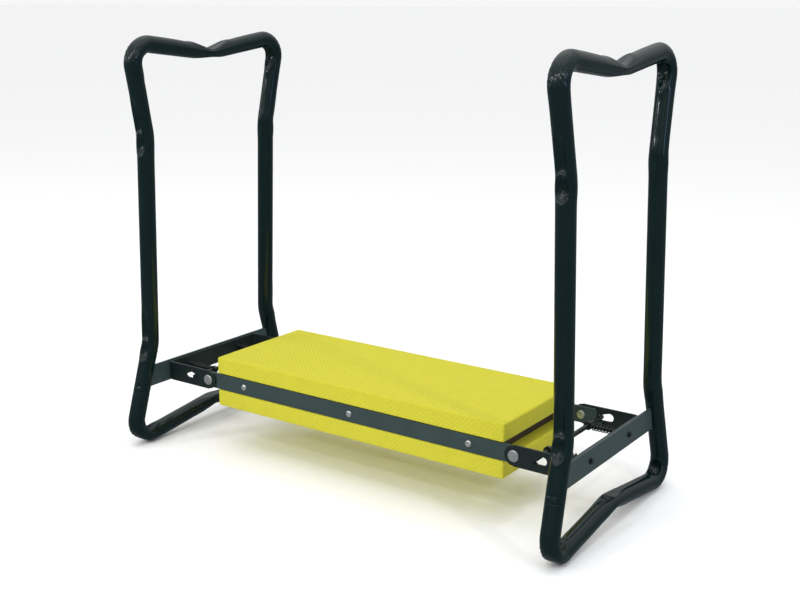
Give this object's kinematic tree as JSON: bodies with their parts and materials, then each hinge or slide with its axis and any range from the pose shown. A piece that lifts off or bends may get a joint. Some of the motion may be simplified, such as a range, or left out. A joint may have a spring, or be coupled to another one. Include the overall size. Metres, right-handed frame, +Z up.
{
  "type": "garden kneeler seat",
  "caption": "Folding garden kneeler and seat: foam-padded board hung between looped tube frames that lock upright with sprung cross rods and fold flat over the pad.",
  "frame": {"origin": "on the floor, under the middle of the seat", "axes": "+X along the seat from the left frame to the right frame, +Y across the seat's depth to the back, +Z up"},
  "size_m": [0.5888, 0.2836, 0.492],
  "materials": {
    "gloss_tube": "very dark green gloss paint on steel tube",
    "painted_strip": "dark grey-green semi-gloss paint on steel strip",
    "zinc_plate": "pale zinc plating",
    "spring_steel": "dark oiled steel",
    "board": "dark brown stained board",
    "foam": "matt yellow closed-cell foam with a fine skin texture"
  },
  "bodies": {
    "seat": {"seat_board": "board", "foam_pad_top": "foam", "foam_pad_bottom": "foam", "side_rail_front": "painted_strip", "side_rail_back": "painted_strip", "rail_screw_front_left": "zinc_plate", "rail_screw_front_middle": "zinc_plate", "rail_screw_front_right": "zinc_plate", "rail_screw_back_left": "zinc_plate", "rail_screw_back_middle": "zinc_plate", "rail_screw_back_right": "zinc_plate", "pivot_rivet_front_left": "zinc_plate", "pivot_rivet_front_right": "zinc_plate", "pivot_rivet_back_left": "zinc_plate", "pivot_rivet_back_right": "zinc_plate"},
    "left_leg_frame": {"handle_hoop_left": "gloss_tube", "foot_hoop_left": "gloss_tube", "crossbar_left": "painted_strip", "hinge_bracket_left": "painted_strip", "lock_spring_left_front": "spring_steel", "lock_spring_left_back": "spring_steel"},
    "left_lock": {"lock_rod_left": "spring_steel", "guide_rod_left_front": "spring_steel", "guide_rod_left_back": "spring_steel"},
    "right_leg_frame": {"handle_hoop_right": "gloss_tube", "foot_hoop_right": "gloss_tube", "crossbar_right": "painted_strip", "hinge_bracket_right": "painted_strip", "lock_spring_right_front": "spring_steel", "lock_spring_right_back": "spring_steel"},
    "right_lock": {"lock_rod_right": "spring_steel", "guide_rod_right_front": "spring_steel", "guide_rod_right_back": "spring_steel"}
  },
  "joints": [
    {"name": "left_fold", "type": "hinge", "parent": "seat", "child": "left_leg_frame", "pos_m": [-0.212, 0, 0.08466], "axis": [0, 1, 0], "range_deg": [0, 85]},
    {"name": "right_fold", "type": "hinge", "parent": "seat", "child": "right_leg_frame", "pos_m": [0.212, 0, 0.08466], "axis": [0, -1, 0], "range_deg": [0, 92]},
    {"name": "left_lock_pull", "type": "slide", "parent": "left_leg_frame", "child": "left_lock", "axis": [-1, 0, 0], "range_m": [0, 0.011], "stiffness_N_per_m": 1200, "springref_m": -0.008, "deforming": ["lock_spring_left_front", "lock_spring_left_back"]},
    {"name": "right_lock_pull", "type": "slide", "parent": "right_leg_frame", "child": "right_lock", "axis": [1, 0, 0], "range_m": [0, 0.011], "stiffness_N_per_m": 1200, "springref_m": -0.008, "deforming": ["lock_spring_right_front", "lock_spring_right_back"]}
  ]
}
